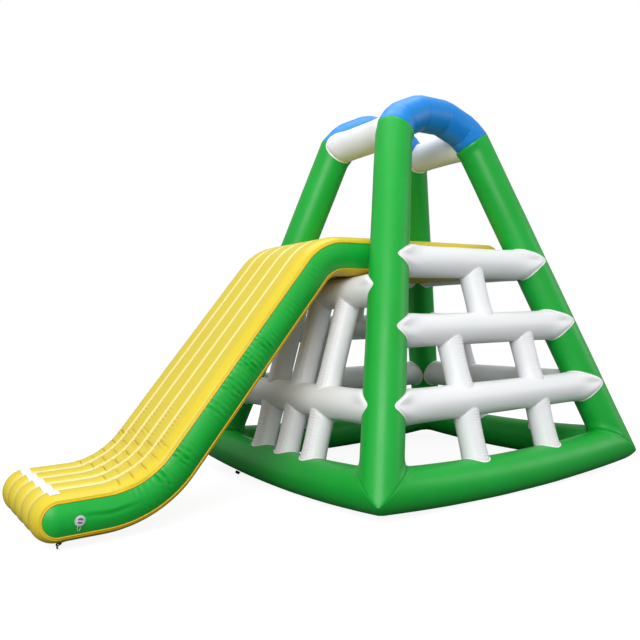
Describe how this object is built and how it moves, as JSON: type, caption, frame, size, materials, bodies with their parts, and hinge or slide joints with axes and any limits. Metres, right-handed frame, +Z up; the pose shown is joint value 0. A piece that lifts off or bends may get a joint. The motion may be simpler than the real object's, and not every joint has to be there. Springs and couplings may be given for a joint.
{
  "type": "inflatable water slide",
  "caption": "Floating inflatable climbing tower of welded tubes: four leaning legs, ladder sides, two arches and a channelled slide with side walls and a valve.",
  "frame": {"origin": "centre of the bounding box on the ground, which lies between the tower and the slide's nose", "axes": "+Z up; +X from the slide's nose toward the back ladder; +Y toward the far side, away from the wall that holds the valve"},
  "size_m": [5.3958, 2.99, 3.6285],
  "materials": {
    "pvc_green": "semi-gloss welded tarpaulin",
    "pvc_white": "semi-gloss welded tarpaulin",
    "pvc_blue": "semi-gloss welded tarpaulin",
    "pvc_yellow": "semi-gloss welded tarpaulin",
    "band_white": "satin film",
    "valve_grey": "satin moulded",
    "spring_steel": "drawn wire",
    "webbing_black": "woven webbing",
    "ring_black": "satin coated"
  },
  "bodies": {
    "tower_and_slide": {"base_tube_near": "pvc_green", "base_tube_far": "pvc_green", "base_tube_back": "pvc_green", "base_tube_slide": "pvc_green", "leg_near_slide": "pvc_green", "leg_near_back": "pvc_green", "leg_far_slide": "pvc_green", "leg_far_back": "pvc_green", "arch_near": "pvc_blue", "arch_far": "pvc_blue", "bridge_slide": "pvc_white", "bridge_back": "pvc_white", "near_rung_top": "pvc_white", "near_rung_middle": "pvc_white", "near_rung_bottom": "pvc_white", "far_rung_top": "pvc_white", "far_rung_middle": "pvc_white", "far_rung_bottom": "pvc_white", "back_rung_top": "pvc_white", "back_rung_middle": "pvc_white", "back_rung_bottom": "pvc_white", "near_strut_upper": "pvc_white", "near_strut_middle_a": "pvc_white", "near_strut_middle_b": "pvc_white", "near_strut_lower_a": "pvc_white", "near_strut_lower_b": "pvc_white", "far_strut_upper": "pvc_white", "far_strut_middle_a": "pvc_white", "far_strut_middle_b": "pvc_white", "far_strut_lower_a": "pvc_white", "far_strut_lower_b": "pvc_white", "back_strut_upper": "pvc_white", "back_strut_middle_a": "pvc_white", "back_strut_middle_b": "pvc_white", "back_strut_lower_a": "pvc_white", "back_strut_lower_b": "pvc_white", "slide_rung_top": "pvc_white", "slide_rung_bottom": "pvc_white", "slide_strut_upper_a": "pvc_white", "slide_strut_upper_b": "pvc_white", "slide_strut_upper_c": "pvc_white", "slide_strut_lower_a": "pvc_white", "slide_strut_lower_b": "pvc_white", "slide_strut_lower_c": "pvc_white", "slide_chamber": "pvc_yellow", "slide_wall_near": "pvc_green", "slide_wall_far": "pvc_green", "nose_band": "band_white", "valve_flange": "valve_grey", "valve_spring": "spring_steel", "mooring_strap_near": "webbing_black", "mooring_strap_far": "webbing_black", "base_loop": "webbing_black"},
    "ring_near": {"mooring_ring_near": "ring_black"},
    "ring_far": {"mooring_ring_far": "ring_black"},
    "tether": {"valve_tether": "valve_grey"},
    "cap": {"valve_cap": "valve_grey"},
    "stem": {"valve_stem": "valve_grey"}
  },
  "joints": [
    {"name": "ring_near_swing", "type": "hinge", "parent": "tower_and_slide", "child": "ring_near", "pos_m": [-2.5184, -0.4483, 0.0385], "axis": [0, 1, 0], "range_deg": [-80, 80]},
    {"name": "ring_far_swing", "type": "hinge", "parent": "tower_and_slide", "child": "ring_far", "pos_m": [-2.5184, 0.4483, 0.0385], "axis": [0, 1, 0], "range_deg": [-80, 80]},
    {"name": "cap_turn", "type": "hinge", "parent": "tower_and_slide", "child": "tether", "pos_m": [-2.4029, -0.5988, 0.215], "axis": [0, -1, 0], "continuous": true},
    {"name": "cap_lift", "type": "slide", "parent": "tether", "child": "cap", "axis": [0, -1, 0], "range_m": [0, 0.012], "deforming": ["valve_tether"]},
    {"name": "stem_press", "type": "slide", "parent": "tower_and_slide", "child": "stem", "axis": [0, 1, 0], "range_m": [0, 0.004], "stiffness_N_per_m": 500, "springref_m": -0.002, "deforming": ["valve_spring"]}
  ]
}
